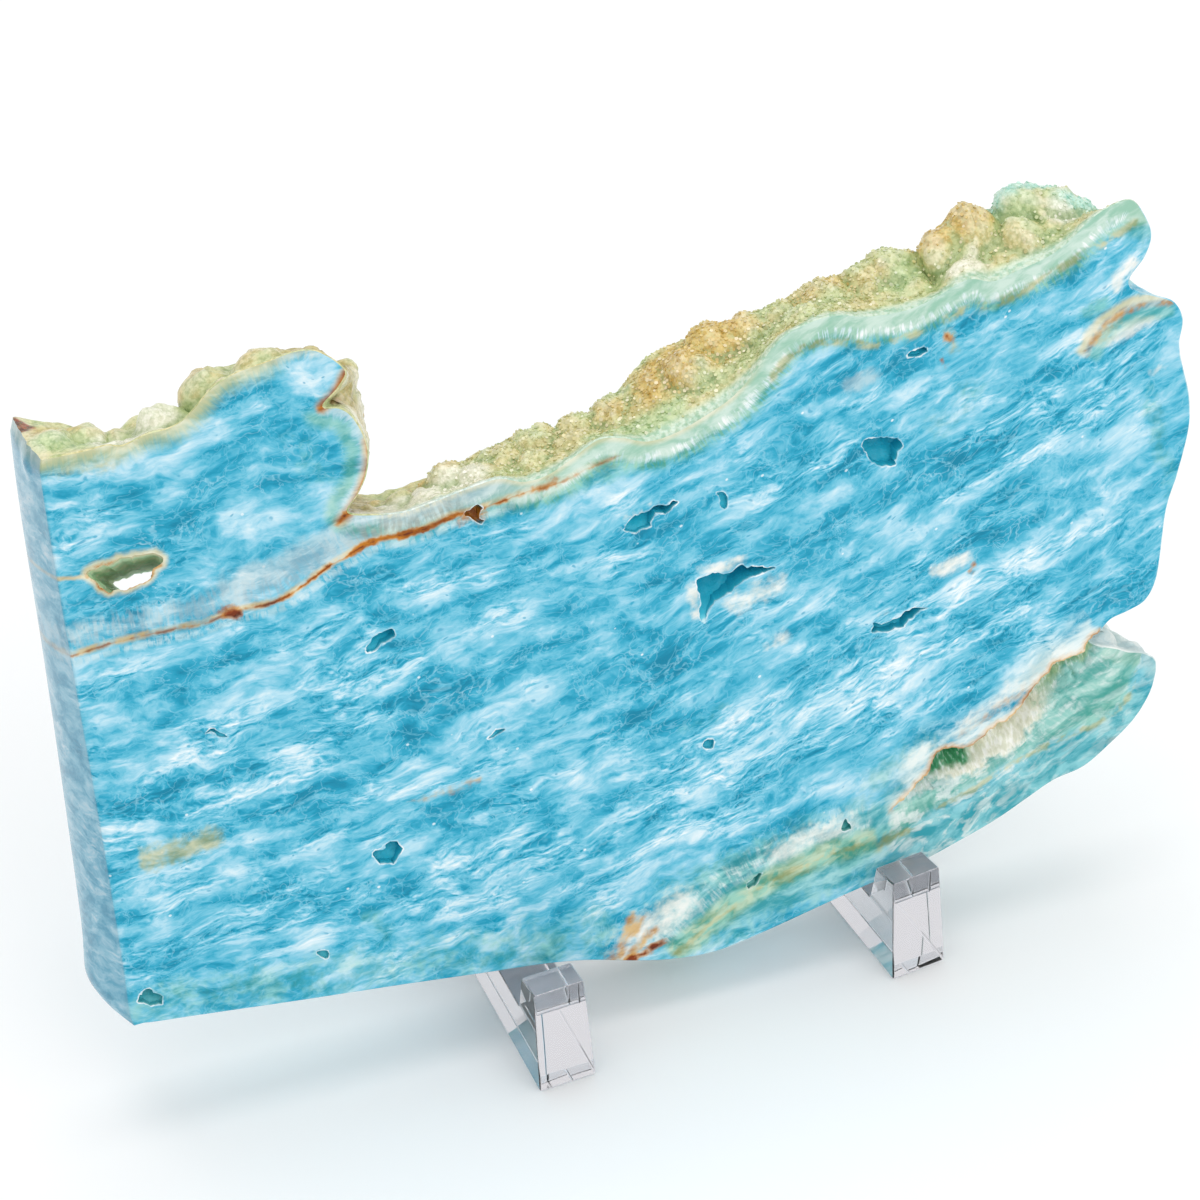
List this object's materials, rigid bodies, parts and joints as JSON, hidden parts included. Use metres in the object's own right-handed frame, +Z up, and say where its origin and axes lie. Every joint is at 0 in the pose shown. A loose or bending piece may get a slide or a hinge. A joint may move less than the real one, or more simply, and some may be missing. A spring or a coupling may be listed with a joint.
{
  "type": "polished aragonite slab on stand",
  "caption": "Sawn and polished slab of banded blue aragonite with a lumpy druse crust along its top edge, pits, a cleft and a hole, leaning on clear acrylic stand feet.",
  "frame": {"origin": "centre of the bounding box's bottom face, on the surface that the feet stand on", "axes": "+X along the slab to the viewer's right, +Y from the polished front face back through the stand, +Z up"},
  "size_m": [0.2418, 0.0709, 0.1689],
  "materials": {
    "aragonite": "sawn flat and polished to a gloss on its faces, rough glittering druse along its top edge",
    "clear_acrylic": "clear, polished"
  },
  "bodies": {
    "root": {"slab": "aragonite", "left_stand_foot": "clear_acrylic", "right_stand_foot": "clear_acrylic"}
  },
  "joints": []
}
